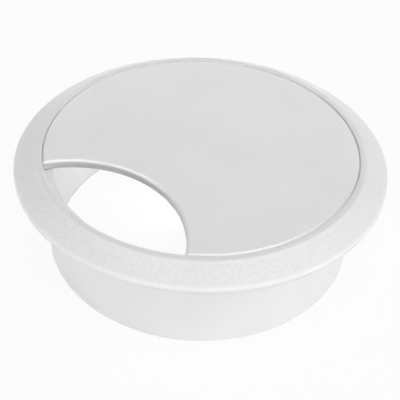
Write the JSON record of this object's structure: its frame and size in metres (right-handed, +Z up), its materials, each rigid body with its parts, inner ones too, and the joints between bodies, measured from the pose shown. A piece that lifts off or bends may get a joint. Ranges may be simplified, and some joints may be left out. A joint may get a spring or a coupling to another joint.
{
  "type": "desk cable grommet",
  "caption": "Round flanged liner for a hole in a desk top, with a flush turning cap that has a curved cable outlet cut in its edge.",
  "frame": {"origin": "on the axis, in the plane where the underside of the flange sits on the desk", "axes": "+Z up out of the desk along the axis, the cap's cable outlet towards -Y"},
  "size_m": [0.07, 0.07, 0.0214],
  "materials": {
    "liner_plastic": "matte white, finely textured on the sloping flange",
    "cap_plastic": "smooth satin white"
  },
  "bodies": {
    "liner": {"liner": "liner_plastic"},
    "cap": {"cap": "cap_plastic"}
  },
  "joints": [
    {"name": "cap_turn", "type": "hinge", "parent": "liner", "child": "cap", "pos_m": [0, 0, 0], "axis": [0, 0, 1], "continuous": true}
  ]
}
